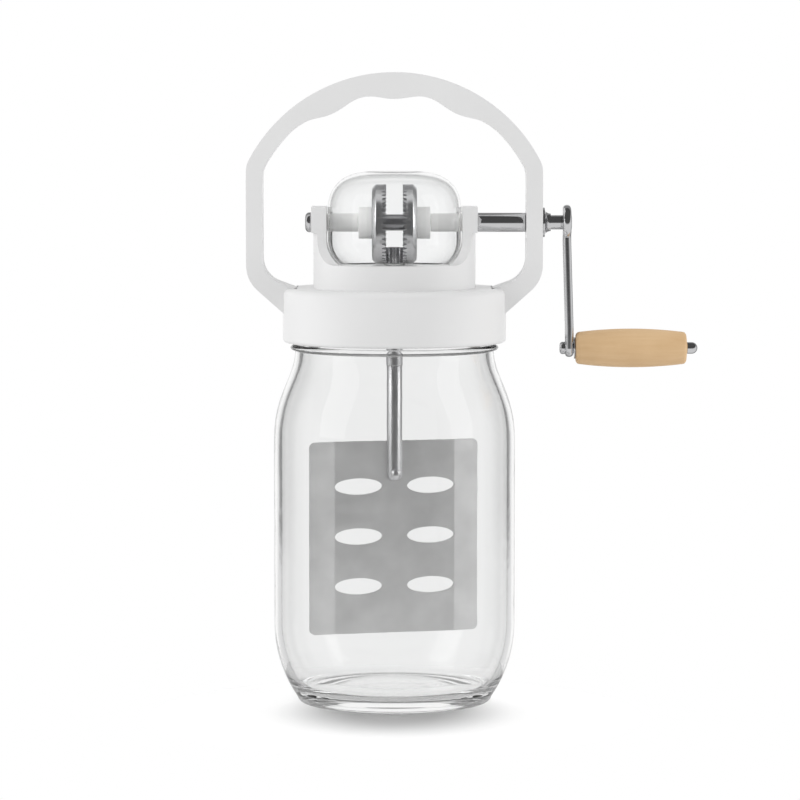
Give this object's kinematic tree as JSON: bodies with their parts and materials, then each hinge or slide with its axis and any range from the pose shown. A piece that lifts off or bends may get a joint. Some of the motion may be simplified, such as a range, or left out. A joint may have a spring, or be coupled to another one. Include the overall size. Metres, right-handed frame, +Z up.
{
  "type": "hand-cranked jar butter churn",
  "caption": "Glass jar with a screw lid whose side crank turns crown gears under a clear dome and spins a perforated steel dasher plate; arched carry handle and wooden grip.",
  "frame": {"origin": "on the jar's axis, in the plane of the ring that the jar stands on", "axes": "+Z up along the jar's axis, +X along the crank shaft towards the crank, front of the churn towards -Y"},
  "size_m": [0.1866, 0.1, 0.2608],
  "materials": {
    "clear_glass": "polished clear soda-lime glass",
    "clear_plastic": "clear moulded plastic",
    "white_plastic": "satin white moulded plastic",
    "nylon": "natural white nylon",
    "silicone": "translucent white food-grade silicone",
    "chrome": "polished and plated steel",
    "gear_steel": "machined steel, slightly dark",
    "rod_steel": "polished stainless steel",
    "plate_steel": "finely brushed stainless sheet",
    "grip_wood": "pale turned hardwood, oiled"
  },
  "bodies": {
    "jar": {"glass_jar": "clear_glass"},
    "gasket": {"lid_gasket": "silicone"},
    "lid": {"screw_lid": "white_plastic", "carry_handle": "white_plastic", "gear_housing": "white_plastic", "housing_screws": "rod_steel", "gear_cover": "clear_plastic", "left_shaft_bush": "nylon", "right_shaft_bush": "nylon", "handle_bush": "nylon", "spindle_bush": "nylon", "spindle_seal": "silicone"},
    "crank": {"crank_shaft": "chrome", "shaft_end_screw": "chrome", "shaft_end_washer": "gear_steel", "left_sleeve": "nylon", "right_sleeve": "nylon", "gear_spacer": "gear_steel", "driver_gear": "gear_steel", "driver_hub": "nylon", "hub_pin": "rod_steel", "shaft_tube": "chrome", "crank_flange": "chrome", "crank_arm": "chrome", "grip_pin": "chrome", "grip_cap": "chrome", "grip_washer": "gear_steel"},
    "idler": {"idler_gear": "gear_steel", "idler_hub": "nylon"},
    "grip": {"wooden_grip": "grip_wood"},
    "dasher": {"pinion": "gear_steel", "drive_spindle": "rod_steel", "thrust_washer": "nylon", "coupling_sleeve": "rod_steel", "dasher_rod": "rod_steel", "dasher_plate": "plate_steel", "dasher_rivet": "rod_steel"}
  },
  "joints": [
    {"name": "lid_lift", "type": "slide", "parent": "jar", "child": "gasket", "axis": [0, 0, 1], "range_m": [0, 0.008]},
    {"name": "lid_turn", "type": "hinge", "parent": "gasket", "child": "lid", "pos_m": [0, 0, 0.172], "axis": [0, 0, 1], "range_deg": [0, 450]},
    {"name": "crank_turn", "type": "hinge", "parent": "lid", "child": "crank", "pos_m": [0, 0, 0.199], "axis": [1, 0, 0], "continuous": true},
    {"name": "idler_spin", "type": "hinge", "parent": "lid", "child": "idler", "pos_m": [0, 0, 0.199], "axis": [1, 0, 0], "continuous": true},
    {"name": "dasher_spin", "type": "hinge", "parent": "lid", "child": "dasher", "pos_m": [0, 0, 0.1], "axis": [0, 0, 1], "continuous": true},
    {"name": "grip_spin", "type": "hinge", "parent": "crank", "child": "grip", "pos_m": [0.098, 0, 0.147], "axis": [1, 0, 0], "continuous": true}
  ],
  "couplings": [
    {"joint": "lid_lift", "follows": "lid_turn", "m_per_rad": 0.0010106},
    {"joint": "dasher_spin", "follows": "crank_turn", "ratio": 4},
    {"joint": "idler_spin", "follows": "crank_turn", "ratio": -1}
  ]
}
